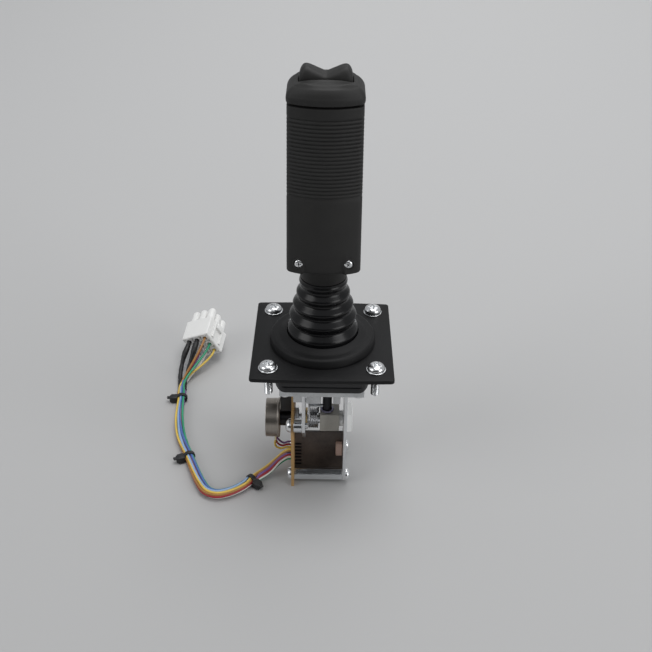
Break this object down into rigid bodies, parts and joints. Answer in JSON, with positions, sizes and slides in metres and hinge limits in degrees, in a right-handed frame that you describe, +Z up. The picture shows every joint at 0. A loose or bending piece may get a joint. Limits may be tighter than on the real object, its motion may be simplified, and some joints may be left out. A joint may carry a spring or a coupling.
{
  "type": "industrial joystick",
  "caption": "Panel-mounted hand lever tipped fore and aft, with a thumb rocker on top, rubber bellows, rotary sensor, circuit boards and a wiring harness with a plug.",
  "frame": {"origin": "centre of the square plate's underside, which rests on the panel", "axes": "+X to the right, +Y away from the operator, +Z up along the upright lever"},
  "size_m": [0.1386, 0.1747, 0.2476],
  "materials": {
    "black_plate": "matt black",
    "zinc_steel": "bright zinc plated",
    "black_moulding": "satin black moulding",
    "boot_rubber": "satin black rubber",
    "cast_metal": "as cast, light grey",
    "sheet_metal": "satin sheet",
    "bright_steel": "bright plated",
    "circuit_board": "tan laminate",
    "dark_board": "dark brown laminate",
    "beige_part": "dipped beige",
    "tinned_brass": "tinned",
    "nickel_can": "brushed, slightly brown",
    "bronze": "sintered bronze",
    "white_nylon": "natural white nylon",
    "spring_steel": "dark spring steel",
    "grey_nylon": "natural grey nylon",
    "black_steel": "blackened steel",
    "grip_black": "fine textured matt black",
    "red_plastic": "red",
    "wire_yellow": "wire insulation",
    "wire_mixed": "wire insulation in several colours",
    "black_sleeve": "black sleeving"
  },
  "bodies": {
    "base": {"mounting_plate": "black_plate", "panel_screws": "zinc_steel", "panel_washers": "zinc_steel", "boot_flange": "black_moulding", "bellows_boot": "boot_rubber", "housing": "black_moulding", "base_casting": "cast_metal", "casting_screws": "zinc_steel", "left_side_plate": "sheet_metal", "right_side_plate": "sheet_metal", "side_plate_screws": "zinc_steel", "front_standoff": "bright_steel", "rear_standoff": "bright_steel", "standoff_screws": "zinc_steel", "board_spacers": "bright_steel", "board_screws": "zinc_steel", "control_board": "circuit_board", "cross_board": "dark_board", "terminal_block": "black_moulding", "film_capacitor": "beige_part", "chip_set": "black_moulding", "header_pins": "tinned_brass", "sensor_can": "nickel_can", "sensor_back": "nickel_can", "sensor_bush": "bright_steel", "sensor_nut": "bright_steel", "sensor_track": "dark_board", "sensor_terminals": "tinned_brass", "left_bush": "bronze", "bearing_block": "white_nylon", "spring_anchor": "bright_steel", "centring_spring": "spring_steel", "sensor_leads": "wire_yellow", "harness": "wire_mixed", "left_sleeve": "black_sleeve", "right_sleeve": "black_sleeve", "loose_wires": "wire_mixed", "cable_ties": "black_sleeve", "connector": "white_nylon", "connector_contacts": "tinned_brass"},
    "lever": {"pivot_shaft": "bright_steel", "sensor_wiper": "bronze", "lever_hub": "grey_nylon", "thrust_washers": "white_nylon", "lever_tail": "black_steel", "tail_clip": "bright_steel", "spring_dog": "bright_steel", "lever_rod": "black_steel", "grip_core": "sheet_metal", "grip": "grip_black", "grip_screws": "zinc_steel", "grip_cap": "grip_black", "rocker_pin": "bright_steel", "thumb_switch": "black_moulding"},
    "rocker": {"rocker": "grip_black"},
    "left_plunger": {"left_plunger": "red_plastic"},
    "right_plunger": {"right_plunger": "red_plastic"}
  },
  "joints": [
    {"name": "lever_tilt", "type": "hinge", "parent": "base", "child": "lever", "pos_m": [0, 0, -0.053], "axis": [1, 0, 0], "range_deg": [-12, 12], "stiffness_Nm_per_rad": 3, "deforming": ["bellows_boot", "centring_spring"]},
    {"name": "rocker_tilt", "type": "hinge", "parent": "lever", "child": "rocker", "pos_m": [0, 0, 0.1494], "axis": [0, 1, 0], "range_deg": [-8, 8], "stiffness_Nm_per_rad": 0.12},
    {"name": "left_plunger_slide", "type": "slide", "parent": "lever", "child": "left_plunger", "axis": [0, 0, 1], "range_m": [-0.001, 0.001]},
    {"name": "right_plunger_slide", "type": "slide", "parent": "lever", "child": "right_plunger", "axis": [0, 0, 1], "range_m": [-0.001, 0.001]}
  ],
  "couplings": [
    {"joint": "left_plunger_slide", "follows": "rocker_tilt", "m_per_rad": 0.0065},
    {"joint": "right_plunger_slide", "follows": "rocker_tilt", "m_per_rad": -0.0065}
  ]
}
